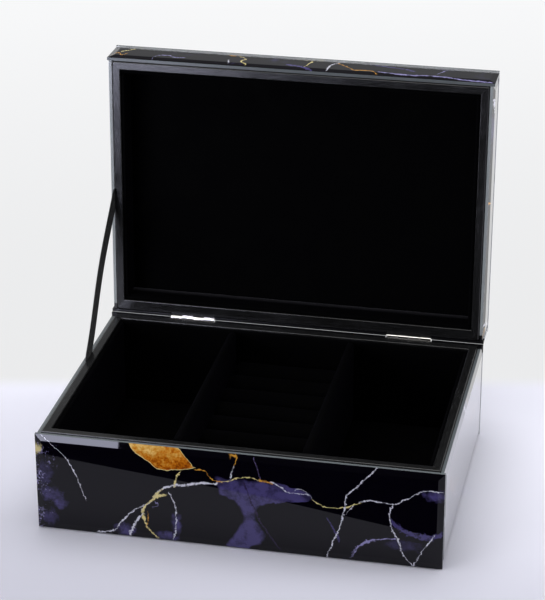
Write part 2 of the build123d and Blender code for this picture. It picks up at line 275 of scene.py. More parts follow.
# The ranges that drawn lines are measured in, as (start, length), in millimetres.
PANEL_LOW, PANEL_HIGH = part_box("base_glass_front")
PANEL_MARGIN = 2.0
X_RANGE = (PANEL_LOW.x / MM, (PANEL_HIGH.x - PANEL_LOW.x) / MM)
Z_RANGE = (0.0, RIM_HEIGHT / MM + PANEL_MARGIN)

VEIN_CORE = 0.55
VEIN_EDGE = 1.25
VEIN_TAPER = 0.8


def curve_value(shader, along, across_range, along_range, points):
    """The across value, in millimetres, of a drawn line at this place along it."""
    start, length = along_range
    floor, height = across_range
    place = shader.math("DIVIDE", shader.minus(along, start), length)
    made = shader.node("ShaderNodeFloatCurve", {"Value": place})
    curve = made.mapping.curves[0]
    made.mapping.extend = "HORIZONTAL"
    spots = [((a - start) / length, (b - floor) / height) for a, b in points]
    curve.points[0].location = spots[0]
    curve.points[1].location = spots[-1]
    for spot in spots[1:-1]:
        curve.points.new(*spot)
    for point in curve.points:
        point.handle_type = "AUTO_CLAMPED"
    made.mapping.update()
    return shader.plus(shader.times(made.outputs[0], height), floor)


def vein_mask(shader, x, z, thinning, vein):
    """How far inside the vein this place is; thinning swells and narrows the vein along its way."""
    axis, half_width, _, points = vein
    if axis == "x":
        along, across = x, z
        line = curve_value(shader, x, Z_RANGE, X_RANGE, points)
    else:
        along, across = z, x
        line = curve_value(shader, z, X_RANGE, Z_RANGE, points)
    away = shader.math("ABSOLUTE", shader.minus(across, line))
    away = shader.times(away, thinning)
    body = shader.smooth(away, half_width * VEIN_CORE, half_width * VEIN_EDGE, 1.0, 0.0)
    first, last = points[0][0], points[-1][0]
    begin = shader.smooth(along, first - VEIN_TAPER, first + VEIN_TAPER)
    end = shader.smooth(along, last - VEIN_TAPER, last + VEIN_TAPER, 1.0, 0.0)
    return shader.times(body, shader.times(begin, end))


def cloud_mask(shader, x, z, ragged, cloud):
    """How far inside the oval cloud this place is; ragged roughens its edge."""
    centre_x, centre_z, half_width, half_height, strength = cloud
    across = shader.math("DIVIDE", shader.minus(x, centre_x), half_width)
    up = shader.math("DIVIDE", shader.minus(z, centre_z), half_height)
    squared = shader.plus(shader.math("POWER", across, 2.0), shader.math("POWER", up, 2.0))
    reach = shader.math("SQRT", squared)
    return shader.smooth(shader.plus(reach, ragged), 0.3, 1.1, strength, 0.0)


def neck_mask(shader, x, z):
    """How far inside the broad cloud this place is."""
    left = curve_value(shader, z, X_RANGE, Z_RANGE, NECK_LEFT)
    right = curve_value(shader, z, X_RANGE, Z_RANGE, NECK_RIGHT)
    inside = shader.math("MINIMUM", shader.minus(x, left), shader.minus(right, x))
    under_vein = shader.smooth(z, 44.0, 47.0, 1.0, 0.0)
    return shader.times(shader.smooth(inside, -1.5, 1.5), under_vein)


def edge_flecks(shader, point, x):
    """Small crystals that crowd the left end of the panel."""
    crowd = shader.smooth(x, -119.0, -106.0, 0.07, -0.02)
    patch = shader.smooth(shader.noise(point, 0.11, 2.0), 0.4, 0.6, -0.06, 0.05)
    grain = shader.plus(shader.noise(point, 0.75, 6.0, 0.75), shader.plus(crowd, patch))
    band = shader.smooth(x, -112.0, -104.0, 1.0, 0.0)
    return shader.times(shader.smooth(grain, 0.60, 0.74), band)


def warped(shader, point, size, amount):
    """The point pushed about by noise, with size and amount in millimetres."""
    push = shader.noise(point, 1.0 / size, detail=2.0, output="Color")
    centred = shader.vector("SUBTRACT", push, (0.5, 0.5, 0.5))
    return shader.vector("ADD", point, shader.scaled(centred, amount))


PALE_HEADING = (0.72, 0.45, 0.62)
GOLD_HEADING = (-0.40, 0.66, 0.55)


def drifting_lines(shader, point, heading, spacing, drift, width):
    """Long wandering lines square to the heading; spacing, drift and width are in millimetres."""
    wander = shader.minus(shader.noise(point, 1.0 / 55.0, detail=2.0, roughness=0.45), 0.5)
    climb = shader.vector("DOT_PRODUCT", point, heading)
    place = shader.plus(climb, shader.times(wander, drift))
    wave = shader.math("SINE", shader.times(place, math.pi / spacing))
    away = shader.times(shader.math("ABSOLUTE", wave), spacing / math.pi)
    swelling = shader.smooth(shader.noise(point, 0.12, 3.0), 0.35, 0.65, 0.6, 2.4)
    return shader.smooth(shader.times(away, swelling), 0.5 * width, width, 1.0, 0.0)


def general_marble(shader, point, offset):
    """Sparse pale veins, gold threads and plum clouds that run right through the panel, as colour."""
    moved = shader.vector("ADD", point, offset)
    bent = warped(shader, warped(shader, warped(shader, moved, 26.0, 20.0), 4.0, 2.6), 1.1, 1.3)
    presence = shader.smooth(shader.noise(moved, 1.0 / 30.0, detail=1.0), 0.43, 0.55)
    veins = drifting_lines(shader, bent, PALE_HEADING, 44.0, 120.0, 1.3)
    pale = shader.times(veins, presence)
    warmth = shader.smooth(shader.noise(moved, 1.0 / 36.0, detail=1.0), 0.48, 0.58)
    threads = drifting_lines(shader, bent, GOLD_HEADING, 52.0, 110.0, 0.9)
    thread = shader.times(threads, warmth)
    mist = shader.noise(bent, 1.0 / 40.0, detail=5.0, roughness=0.6)
    colour = shader.mix(shader.smooth(mist, 0.56, 0.72), GROUND, PLUM_CLOUD)
    colour = shader.mix(pale, colour, WHITE_VEIN)
    return shader.mix(thread, colour, GOLD_VEIN)


LEAF_TONES = (
    (0.34, (0.22, 0.045, 0.003, 1.0)),
    (0.45, (0.52, 0.15, 0.006, 1.0)),
    (0.56, (0.62, 0.30, 0.045, 1.0)),
    (0.70, (0.80, 0.52, 0.17, 1.0)),
)


def leaf_colour(shader, point):
    """Mottled agate: pale gold at the upper left, burnt orange at the lower right."""
    x, _, z = shader.parts(point)
    mottle = shader.noise(warped(shader, point, 3.0, 2.5), 0.33, detail=8.0, roughness=0.68)
    height = shader.times(shader.minus(z, 55.0), 0.012)
    across = shader.times(shader.plus(x, 45.0), -0.004)
    ripeness = shader.plus(mottle, shader.plus(height, across))
    made = shader.node("ShaderNodeValToRGB", {"Fac": ripeness})
    stages = made.color_ramp.elements
    stages[0].position, stages[0].color = LEAF_TONES[0]
    stages[1].position, stages[1].color = LEAF_TONES[-1]
    for ripe_at, tone in LEAF_TONES[1:-1]:
        stages.new(ripe_at).color = tone
    return made.outputs["Color"]


def leaf_inside(shader, x, z):
    """Distance inside the leaf's outline, in millimetres."""
    lower = curve_value(shader, x, Z_RANGE, X_RANGE, LEAF_LOWER)
    upper = curve_value(shader, x, Z_RANGE, X_RANGE, LEAF_UPPER)
    inside = shader.math("MINIMUM", shader.minus(z, lower), shader.minus(upper, z))
    stem, tip = LEAF_LOWER[0][0], LEAF_LOWER[-1][0]
    width = shader.math("MINIMUM", shader.minus(x, stem), shader.minus(tip, x))
    return shader.math("MINIMUM", inside, width)


def drawn_veins(shader, point, x, z, veins, colour):
    """The colour with the veins laid over it, in order."""
    uneven = shader.smooth(shader.noise(point, 0.6, 3.0), 0.32, 0.5, 0.3, 1.0)
    thinning = shader.smooth(shader.noise(point, 0.45, 2.0), 0.35, 0.65, 0.75, 1.7)
    for vein in veins:
        mask = vein_mask(shader, x, z, thinning, vein)
        colour = shader.mix(shader.times(mask, uneven), colour, vein[2])
    return colour


def strip_marble(shader, point):
    """The print of the lid's front strip; the place is first turned back to the closed lid."""
    turn = {"Vector": point, "Center": HINGE / MM, "Angle": OPEN_ANGLE}
    closed = shader.node("ShaderNodeVectorRotate", turn, rotation_type="X_AXIS").outputs[0]
    lower_edge = closed_box("lid_glass_front", LID_OPENING)[0].z / MM
    flat = shader.vector("SUBTRACT", closed, (0.0, 0.0, lower_edge))
    x, _, z = shader.parts(warped(shader, warped(shader, flat, 2.2, 1.4), 1.1, 1.7))
    mist = shader.smooth(shader.noise(flat, 0.05, 6.0, 0.65), 0.56, 0.75, 0.0, 0.6)
    colour = shader.mix(mist, GROUND, PLUM_CLOUD)
    return drawn_veins(shader, flat, x, z, STRIP_VEINS, colour)


def front_marble(shader, point):
    """The front print: drawn veins, clouds and the agate leaf, as colour."""
    wandering = warped(shader, warped(shader, point, 7.0, 1.8), 2.2, 1.2)
    jagged = warped(shader, wandering, 1.1, 2.1)
    x, _, z = shader.parts(jagged)
    soft_x, _, soft_z = shader.parts(warped(shader, point, 6.0, 5.0))
    tatter = shader.minus(shader.noise(point, 0.22, 7.0, 0.7), 0.5)
    ragged = shader.times(tatter, 2.0)
    cloud = neck_mask(shader, soft_x, soft_z)
    for outline in FRONT_CLOUDS:
        cloud = shader.math("MAXIMUM", cloud, cloud_mask(shader, soft_x, soft_z, ragged, outline))
    mist = shader.smooth(shader.noise(point, 0.16, 8.0, 0.68), 0.3, 0.66, 0.3, 1.25)
    colour = shader.mix(shader.math("MULTIPLY", cloud, mist, clamp=True), GROUND, PLUM_CLOUD)
    colour = shader.mix(edge_flecks(shader, point, soft_x), colour, PALE_PLUM)
    colour = shader.mix(cloud_mask(shader, x, z, ragged, GOLD_PATCH), colour, CREAM_VEIN)
    colour = drawn_veins(shader, point, x, z, FRONT_VEINS, colour)
    smooth_x, _, smooth_z = shader.parts(wandering)
    inside = leaf_inside(shader, smooth_x, smooth_z)
    colour = shader.mix(shader.smooth(inside, 0.0, 0.3), colour, CREAM_VEIN)
    return shader.mix(shader.smooth(inside, 0.4, 0.8), colour, leaf_colour(shader, point))


GLASS_EDGE = (0.125, 0.140, 0.150, 1.0)
# The lid's side panels have paler edges: a painted highlight.
LID_SIDE_EDGE_HIGHLIGHT = (0.34, 0.37, 0.385, 1.0)
# Pale glass colour: painted light that lifts the shaded inner faces and rear corners of the edges.
PAINTED_LIGHT_GLASS = (0.80, 0.82, 0.86, 1.0)
# Painted shade: glass edges in the hinge crease are coloured black, out to the reach from the pin line, in
# millimetres.
CREASE_SHADE_EDGE = (0.004, 0.004, 0.005, 1.0)
CREASE_SHADE_REACH = 5.0
CORNER_PAINTED_LIGHT = 0.74


def from_hinge_line(shader, point):
    """Distance from the pin line, in millimetres; it is the same in every pose."""
    away = shader.vector("SUBTRACT", point, HINGE / MM)
    across = shader.vector("MULTIPLY", away, REARWARD + UPWARD)
    return shader.vector("LENGTH", across)


def edge_colour(shader, node, point, normal, facing):
    """Ground glass edges, with painted light and shade: pale on the inner faces and at the rear corners as
    painted light, paler on the lid's sides as a painted highlight, and black along the hinge line as painted
    crease shade.
    """
    # Painted light: the pale colour goes on the inward faces, and on the sideways ends of all but the front
    # panels.
    painted_light = shader.times(facing, -1.0)
    if not node.endswith("front"):
        sideways = shader.math("ABSOLUTE", shader.vector("DOT_PRODUCT", normal, RIGHTWARD))
        painted_light = shader.math("MAXIMUM", painted_light, shader.times(sideways, CORNER_PAINTED_LIGHT))
    # The paler edge colour of the lid's side panels is a painted highlight.
    ground = LID_SIDE_EDGE_HIGHLIGHT if node in ("lid_glass_left", "lid_glass_right") else GLASS_EDGE
    colour = shader.mix(shader.smooth(painted_light, 0.6, 0.9), ground, PAINTED_LIGHT_GLASS)
    # Painted shade of the hinge crease: black near the pin line.
    crease_shade = shader.smooth(from_hinge_line(shader, point), CREASE_SHADE_REACH, CREASE_SHADE_REACH + 1.0, 1.0, 0.0)
    return shader.mix(crease_shade, colour, CREASE_SHADE_EDGE)


def printed_glass(node, outward, offset, polish, second_surface):
    """Back-printed glass: the marble under a polished surface, with clear ground edges.

    The second surface is the mirror-like back of the glass, which shows at a glancing angle.
    """
    shader = Shader(
        "print_" + node,
        IOR=1.5,
        Specular_IOR_Level=polish,
        Coat_Weight=second_surface,
        Coat_Roughness=0.02,
    )
    point = shader.point()
    if node == "base_glass_front":
        print_colour = front_marble(shader, point)
    elif node == "lid_glass_front":
        print_colour = strip_marble(shader, point)
    else:
        print_colour = general_marble(shader, point, offset)
    normal = shader.coordinate("Normal")
    facing = shader.vector("DOT_PRODUCT", normal, outward)
    edge = shader.smooth(facing, 0.6, 0.9, 1.0, 0.0)
    colour = shader.mix(edge, print_colour, edge_colour(shader, node, point, normal, facing))
    smudge = shader.smooth(shader.noise(point, 0.03, 4.0, 0.6), 0.45, 0.75, 0.018, 0.06)
    roughness = shader.plus(smudge, shader.times(edge, 0.16))
    ripple = shader.noise(point, 0.02, 1.0)
    return shader.finish(colour, roughness, ripple, distance=0.00004, strength=0.25)


# ---------- the other finishes


GRAIN_STRETCH = 0.06


def lacquered_wood(grain_axis):
    """Black lacquer over wood: fine grain along the board, orange peel, and edges a little paler, partly
    rubbed wear and partly a painted edge highlight.
    """
    shader = Shader("lacquer_" + grain_axis, IOR=1.5)
    stretch = [GRAIN_STRETCH if axis == grain_axis else 1.0 for axis in "xyz"]
    point = shader.point()
    grain = shader.noise(shader.vector("MULTIPLY", point, stretch), 2.6, 6.0, 0.7)
    peel = shader.noise(point, 1.1, 2.0)
    cloud = shader.noise(point, 0.04, 3.0)
    height = shader.plus(grain, shader.times(peel, 0.6))
    bevel = shader.node("ShaderNodeBevel", {"Radius": 0.0006}, samples=4).outputs[0]
    true = shader.node("ShaderNodeNewGeometry", {}).outputs["Normal"]
    wear_and_painted_highlight = shader.smooth(shader.vector("DOT_PRODUCT", bevel, true), 0.86, 0.995, 1.0, 0.0)
    wear_and_painted_highlight = shader.times(wear_and_painted_highlight, shader.smooth(shader.noise(point, 0.9, 5.0), 0.45, 0.7))
    dark = shader.mix(shader.smooth(grain, 0.35, 0.7), grey(0.005), grey(0.014, (0.98, 1.0, 1.08)))
    # Paler edges: partly rubbed wear, partly a painted edge highlight.
    colour = shader.mix(shader.times(wear_and_painted_highlight, 0.5), dark, grey(0.06))
    haze = shader.plus(grain, shader.times(cloud, 0.6))
    roughness = shader.smooth(haze, 0.5, 1.1, 0.13, 0.3)
    return shader.finish(colour, roughness, height, distance=0.00004, strength=0.5)


def velvet(name="velvet_pile", fold=None, towards_fold=None):
    """Short dense pile: brushed patches, a fine nap and a faint plum sheen.

    Along the fold, where there is one, a pale band is painted in as a highlight, flecked by the nap.
    """
    shader = Shader(
        name,
        IOR=1.4,
        Specular_IOR_Level=0.03,
        Sheen_Weight=0.008,
        Sheen_Roughness=0.35,
        Sheen_Tint=(0.55, 0.5, 0.85, 1.0),
    )
    point = shader.point()
    brushed = shader.noise(warped(shader, point, 18.0, 14.0), 0.07, 4.0, 0.6)
    nap = shader.noise(point, 3.2, 3.0, 0.7)
    shade = shader.plus(shader.times(brushed, 0.6), shader.times(nap, 0.5))
    colour = shader.mix(shader.smooth(shade, 0.4, 0.75), grey(0.0001), grey(0.0009, (0.92, 0.85, 1.3)))
    # Painted highlight: a pale band along the fold, strongest near it and fading away.
    if fold is not None:
        away = shader.vector("SUBTRACT", fold / MM, point)
        to_fold = shader.vector("DOT_PRODUCT", away, towards_fold)
        crest = shader.smooth(to_fold, 0.2, 1.5, 1.0, 0.25)
        fade = shader.smooth(to_fold, 0.6, 7.0, 1.0, 0.0)
        brightest = shader.times(crest, fade)
        painted_fold_highlight = shader.times(brightest, shader.smooth(nap, 0.3, 0.6))
        colour = shader.mix(painted_fold_highlight, colour, grey(0.13, (0.95, 0.93, 1.1)))
    roughness = shader.smooth(brushed, 0.3, 0.7, 0.78, 0.98)
    return shader.finish(colour, roughness, nap, distance=0.00025, strength=0.8)


def felt():
    """Pressed felt: tangled fibres in black."""
    shader = Shader("pressed_felt", IOR=1.4, Specular_IOR_Level=0.1, Sheen_Weight=0.2, Sheen_Roughness=0.6)
    point = shader.point()
    fibres = shader.noise(warped(shader, point, 1.2, 1.6), 2.2, 8.0, 0.75)
    colour = shader.mix(shader.smooth(fibres, 0.35, 0.7), grey(0.006), grey(0.028))
    roughness = shader.smooth(fibres, 0.3, 0.7, 0.85, 1.0)
    return shader.finish(colour, roughness, fibres, distance=0.0003, strength=0.9)


def foam():
    """Charcoal foam: open cells of two sizes."""
    shader = Shader("open_foam", IOR=1.4, Specular_IOR_Level=0.2)
    point = shader.point()
    cells = shader.node("ShaderNodeTexVoronoi", {"Vector": point, "Scale": 1.3}).outputs["Distance"]
    small = shader.node("ShaderNodeTexVoronoi", {"Vector": point, "Scale": 3.4}).outputs["Distance"]
    height = shader.plus(cells, shader.times(small, 0.4))
    colour = shader.mix(shader.smooth(height, 0.1, 0.8), grey(0.006), grey(0.045))
    roughness = shader.smooth(small, 0.0, 0.8, 0.8, 1.0)
    return shader.finish(colour, roughness, height, distance=0.0004, strength=0.9)


def adhesive():
    """Black silicone bed: matt, with trowel streaks and small voids."""
    shader = Shader("black_adhesive", IOR=1.42, Specular_IOR_Level=0.3)
    point = shader.point()
    streaks = shader.noise(shader.vector("MULTIPLY", point, (0.3, 0.3, 1.0)), 0.6, 5.0, 0.6)
    voids = shader.node("ShaderNodeTexVoronoi", {"Vector": point, "Scale": 0.5}).outputs["Distance"]
    colour = shader.mix(shader.smooth(streaks, 0.35, 0.7), grey(0.0035), grey(0.012))
    roughness = shader.smooth(voids, 0.0, 0.6, 0.75, 0.5)
    return shader.finish(colour, roughness, streaks, distance=0.0001, strength=0.6)


def plated(name, tone, base_roughness, brush, painted_shade_from=None):
    """Plated metal: fine scratches along the pin line, worn dull patches and a faint colour drift.

    Where a distance is given, the metal from that distance off the pin line, in mm, is painted black,
    rougher and not metallic: painted shade in the hinge crease.
    """
    shader = Shader(name, Metallic=1.0)
    point = shader.point()
    scratches = shader.noise(shader.vector("MULTIPLY", point, (0.12, 1.0, 1.0)), brush, 5.0, 0.7)
    dull = shader.noise(point, 0.35, 4.0, 0.6)
    darker = tuple(channel * 0.72 for channel in tone[:3]) + (1.0,)
    colour = shader.mix(shader.smooth(dull, 0.4, 0.7), tone, darker)
    rubbed = shader.smooth(shader.plus(dull, shader.times(scratches, 0.4)), 0.45, 0.95)
    roughness = shader.plus(shader.times(rubbed, 0.10), base_roughness)
    metallic = None
    # Painted shade of the hinge crease: black, dull and not metallic away from the pin line.
    if painted_shade_from is not None:
        away = from_hinge_line(shader, point)
        under = shader.smooth(away, painted_shade_from, painted_shade_from + 0.15)
        colour = shader.mix(under, colour, grey(0.012))
        roughness = shader.plus(roughness, shader.times(under, 0.12))
        metallic = shader.minus(1.0, under)
    return shader.finish(colour, roughness, scratches, 0.000006, 0.3, metallic)


WARP_PER_MM = 3.2
WEFT_PER_MM = 1.6


def satin_ribbon():
    """Double-faced satin: long floats of warp, and a weft rib across them."""
    shader = Shader("satin_ribbon", IOR=1.5, Specular_IOR_Level=0.5, Sheen_Weight=0.12, Sheen_Roughness=0.3)
    uv = shader.node("ShaderNodeUVMap", {}, uv_map="thread_count").outputs["UV"]
    along, across, _ = shader.parts(uv)
    warp = shader.math("SINE", shader.times(across, math.tau * WARP_PER_MM))
    slanted = shader.plus(along, shader.times(across, 1.7))
    weft = shader.math("SINE", shader.times(slanted, math.tau * WEFT_PER_MM))
    weave = shader.plus(shader.times(warp, 0.5), shader.times(weft, 0.3))
    point = shader.point()
    slub = shader.noise(point, 0.5, 5.0, 0.65)
    height = shader.plus(weave, shader.times(slub, 0.8))
    colour = shader.mix(shader.smooth(height, -0.4, 1.0), grey(0.0045), grey(0.020, (0.95, 0.97, 1.05)))
    roughness = shader.smooth(slub, 0.3, 0.7, 0.34, 0.52)
    return shader.finish(colour, roughness, height, distance=0.00005, strength=0.7)


# ---------- finishes on the CAD nodes


def dress(node, material):
    """Gives a CAD node its material; the mesh stays as it is."""
    mesh = frame["nodes"][node].data
    mesh.materials.clear()
    mesh.materials.append(material)


# (node, outward direction, where its print is cut from the marble, in millimetres); two prints are drawn.
GLASS = (
    ("base_glass_front", FRONTWARD, None),
    ("base_glass_rear", REARWARD, (310.0, 40.0, 12.0)),
    ("base_glass_left", LEFTWARD, (70.0, 520.0, 33.0)),
    ("base_glass_right", RIGHTWARD, (-410.0, 95.0, 61.0)),
    ("lid_glass_front", LID_TURN @ FRONTWARD, None),
    ("lid_glass_rear", LID_TURN @ REARWARD, (505.0, 30.0, 77.0)),
    ("lid_glass_left", LID_TURN @ LEFTWARD, (220.0, 33.0, -180.0)),
    ("lid_glass_right", LID_TURN @ RIGHTWARD, (91.0, -48.0, 230.0)),
    ("lid_glass_top", LID_TURN @ UPWARD, (-66.0, 310.0, 52.0)),
)

# (polish, weight of the mirror-like back); panels that are not listed are plain.
PLAIN_GLASS = (0.5, 0.0)
GLASS_MIRRORING = {
    "base_glass_front": (0.28, 0.0),
    "lid_glass_front": (0.28, 0.0),
    "base_glass_left": (0.75, 1.0),
    "base_glass_right": (0.75, 1.0),
    "lid_glass_left": (0.5, 0.6),
    "lid_glass_right": (0.5, 0.6),
}
for glass_node, glass_outward, glass_offset in GLASS:
    gloss, back_mirror = GLASS_MIRRORING.get(glass_node, PLAIN_GLASS)
    dress(glass_node, printed_glass(glass_node, glass_outward, glass_offset, gloss, back_mirror))

# The grain runs along each board; the side boards of the open lid stand upright.
LACQUER = {axis: lacquered_wood(axis) for axis in "xyz"}
for body, side_grain in (("base", "y"), ("lid", "z")):
    for side, grain_axis in zip(WALLS, ("x", "x", side_grain, side_grain)):
        dress(f"{body}_board_{side}", LACQUER[grain_axis])
for board in ("base_bottom_board", "lid_top_board"):
    dress(board, LACQUER["x"])

ADHESIVE = adhesive()
for bed in ("base_adhesive", "lid_adhesive"):
    dress(bed, ADHESIVE)

# The nickel beyond 1.15 mm from the pin line carries painted crease shade.
NICKEL = plated("polished_nickel", (0.80, 0.77, 0.73, 1.0), 0.07, 2.0, painted_shade_from=1.15)
STEEL = plated("screw_steel_turned", (0.52, 0.51, 0.50, 1.0), 0.28, 5.0)
for side in ("left", "right"):
    for part in ("base_leaf", "lid_leaf", "pin"):
        dress(f"hinge_{side}_{part}", NICKEL)
for screws in ("hinge_base_screws", "hinge_lid_screws"):
    dress(screws, STEEL)


# ---------- velvet-wrapped cards


def new_piece(name, bm):
    """An object made from the finished form."""
    mesh = bpy.data.meshes.new(name)
    bm.to_mesh(mesh)
    bm.free()
    made = bpy.data.objects.new(name, mesh)
    bpy.context.scene.collection.objects.link(made)
    return made


CARD_STEP = 0.003


def stops(half, radius):
    """Places along one side: close together round the edge, then evenly spaced."""
    inner = half - radius
    count = max(1, round(2 * inner / CARD_STEP))
    middle = [-inner + 2 * inner * index / count for index in range(count + 1)]
    rounded = [inner + radius * part for part in (0.35, 0.7, 1.0)]
    return [-value for value in reversed(rounded)] + middle + rounded


def side_grid(bm, axis, sign, half, lines):
    """One side of the card as a grid of quads."""
    first, second = [other for other in range(3) if other != axis]
    rows = []
    for a in lines[first]:
        row = []
        for b in lines[second]:
            place = [0.0, 0.0, 0.0]
            place[axis], place[first], place[second] = sign * half[axis], a, b
            row.append(bm.verts.new(place))
        rows.append(row)
    for i in range(len(rows) - 1):
        for j in range(len(rows[0]) - 1):
            bm.faces.new((rows[i][j], rows[i + 1][j], rows[i + 1][j + 1], rows[i][j + 1]))


def wrapped_card(name, low, high, radius, pile, seed, opening):
    """A rounded card wrapped in cloth; pile is the height of the unevenness of its surface."""
    half = (high - low) / 2
    centre = (high + low) / 2
    radius = min(radius, 0.95 * min(half))
    lines = [stops(half[axis], radius) for axis in range(3)]
    bm = bmesh.new()
    for axis in range(3):
        for sign in (-1, 1):
            side_grid(bm, axis, sign, half, lines)
    bmesh.ops.remove_doubles(bm, verts=bm.verts, dist=1e-6)
    bmesh.ops.recalc_face_normals(bm, faces=bm.faces)
    for vertex in bm.verts:
        inner = Vector(max(radius - h, min(h - radius, c)) for c, h in zip(vertex.co, half))
        out = vertex.co - inner
        vertex.co = inner + out.normalized() * radius
    bm.normal_update()
    for vertex in bm.verts:
        place = (vertex.co + centre) / MM + Vector((seed, 2 * seed, 3 * seed))
        broad = noise.noise(place / 14.0)
        fine = noise.noise(place / 2.5)
        vertex.co += vertex.normal * pile * (0.6 * broad + 0.4 * fine - 0.8)
    bmesh.ops.translate(bm, verts=bm.verts, vec=centre)
    bmesh.ops.transform(bm, matrix=opening, verts=bm.verts)
    made = new_piece(name, bm)
    made.data.shade_smooth()
    return made


VELVET_UNEVENNESS = 0.00018
CARD_RADIUS = 0.0011
DIVIDER_RADIUS = 0.0020


def place_card(node, body, material, seed, radius=CARD_RADIUS, pile=VELVET_UNEVENNESS):
    """Puts a wrapped card of the node's size in its place."""
    opening = LID_OPENING if body == "lid" else NO_TURN
    low, high = closed_box(node, opening)
    card = wrapped_card("soft_" + node, low, high, radius, pile, seed, opening)
    card.data.materials.append(material)
    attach(card, body)
    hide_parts(node)
    return card


VELVET = velvet()
BASE_CARDS = [f"base_lining_{side}" for side in ("floor", *WALLS)] + ["divider_left", "divider_right"]
LID_CARDS = [f"lid_lining_{side}" for side in ("panel", *WALLS)]
for index, card_node in enumerate(BASE_CARDS):
    edge_radius = DIVIDER_RADIUS if card_node.startswith("divider") else CARD_RADIUS
    place_card(card_node, "base", VELVET, 7.0 * index + 3.0, edge_radius)
LID_PANEL_LOW, _ = closed_box("lid_lining_panel", LID_OPENING)
LID_FOLD = LID_OPENING @ Vector((0.0, 0.0, LID_PANEL_LOW.z))
FOLD_HIGHLIGHT_VELVET = velvet("velvet_painted_fold_highlight", LID_FOLD, LID_TURN @ UPWARD)
for index, card_node in enumerate(LID_CARDS):
    # The rear lining's velvet carries the painted fold highlight.
    cloth = FOLD_HIGHLIGHT_VELVET if card_node == "lid_lining_rear" else VELVET
    place_card(card_node, "lid", cloth, 11.0 * index + 5.0)
foam_core = place_card("foam_block", "base", foam(), 91.0, radius=0.0025, pile=0.0004)
felt_sheet = place_card("underside_felt", "base", felt(), 53.0, radius=0.0004, pile=0.00012)


# ---------- ring rolls

ROLL_COUNT = 8
ROLL_SIDES = 40
ROLL_SHOULDER = 0.0032
ROLL_END_GAP = 0.0006
ROLL_VOXEL = 0.0015

# The roll is built at this share of its full radius and then inflated, by no more than the cap.
ROLL_START = 0.95
ROLL_CAP = 0.0009
INFLATION_FRAMES = 20


def skin(bm, rings):
    """Closes a row of rings into a solid and returns the quads between them."""
    quads = []
    for first, second in zip(rings, rings[1:]):
        for step in range(len(first)):
            after = (step + 1) % len(first)
            quads.append(bm.faces.new((first[step], first[after], second[after], second[step])))
    bm.faces.new(rings[0])
    bm.faces.new(rings[-1])
    bmesh.ops.recalc_face_normals(bm, faces=bm.faces)
    return quads


def roll_form(name, low, high):
    """A round bolster, a little under size, with softly closed ends."""
    radius = (high.z - low.z) / 2 * ROLL_START
    half_length = (high.x - low.x) / 2 - ROLL_END_GAP
    centre = (low + high) / 2
    profile = [(-half_length, radius - ROLL_SHOULDER)]
    for turn in (30, 60, 90):
        angle = math.radians(turn)
        x = -half_length + ROLL_SHOULDER * (1 - math.cos(angle))
        profile.append((x, radius - ROLL_SHOULDER + ROLL_SHOULDER * math.sin(angle)))
    profile += [(-x, r) for x, r in reversed(profile)]
    bm = bmesh.new()
    rings = []
    for x, r in profile:
        ring = []
        for step in range(ROLL_SIDES):
            angle = math.tau * step / ROLL_SIDES
            y, z = r * math.cos(angle), r * math.sin(angle)
            ring.append(bm.verts.new((centre.x + x, centre.y + y, centre.z + z)))
        rings.append(ring)
    skin(bm, rings)
    return new_piece(name, bm)


def apply_modifiers(piece):
    """Turns the modifiers' result into the piece's own mesh."""
    evaluated = piece.evaluated_get(bpy.context.evaluated_depsgraph_get())
    mesh = bpy.data.meshes.new_from_object(evaluated)
    piece.modifiers.clear()
    old = piece.data
    piece.data = mesh
    bpy.data.meshes.remove(old)


def remesh(piece):
    """Even quads, which the cloth needs."""
    modifier = piece.modifiers.new("even_quads", "REMESH")
    modifier.mode = "VOXEL"
    modifier.voxel_size = ROLL_VOXEL
    apply_modifiers(piece)


def inflate(piece):
    """Blows the cover out against its own stiffness, then limits how far any point has moved."""
    before = [vertex.co.copy() for vertex in piece.data.vertices]
    cloth = piece.modifiers.new("cover", "CLOTH")
    settings = cloth.settings
    settings.quality = 5
    settings.mass = 0.2
    settings.tension_stiffness = 20
    settings.compression_stiffness = 20
    settings.bending_stiffness = 0.4
    settings.use_pressure = True
    settings.uniform_pressure_force = 4.0
    settings.effector_weights.gravity = 0.0
    cloth.point_cache.frame_start = 1
    cloth.point_cache.frame_end = INFLATION_FRAMES
    for step in range(1, INFLATION_FRAMES + 1):
        bpy.context.scene.frame_set(step)
    apply_modifiers(piece)
    for vertex, start in zip(piece.data.vertices, before):
        moved = vertex.co - start
        if moved.length > ROLL_CAP:
            vertex.co = start + moved.normalized() * ROLL_CAP
    bpy.context.scene.frame_set(1)


def subdivide(piece):
    """One round of smoothing."""
    modifier = piece.modifiers.new("smooth_cover", "SUBSURF")
    modifier.levels = 1
    modifier.render_levels = 1
    apply_modifiers(piece)


TUCK_REACH = 0.0045
TUCKS_AROUND = 14
SEAM_HALF_ANGLE = 0.07
WRAP_RISE = 0.00022
CREEP_RISE = 0.00006
TUCK_RISE = 0.00018
SEAM_DEPTH = 0.0007


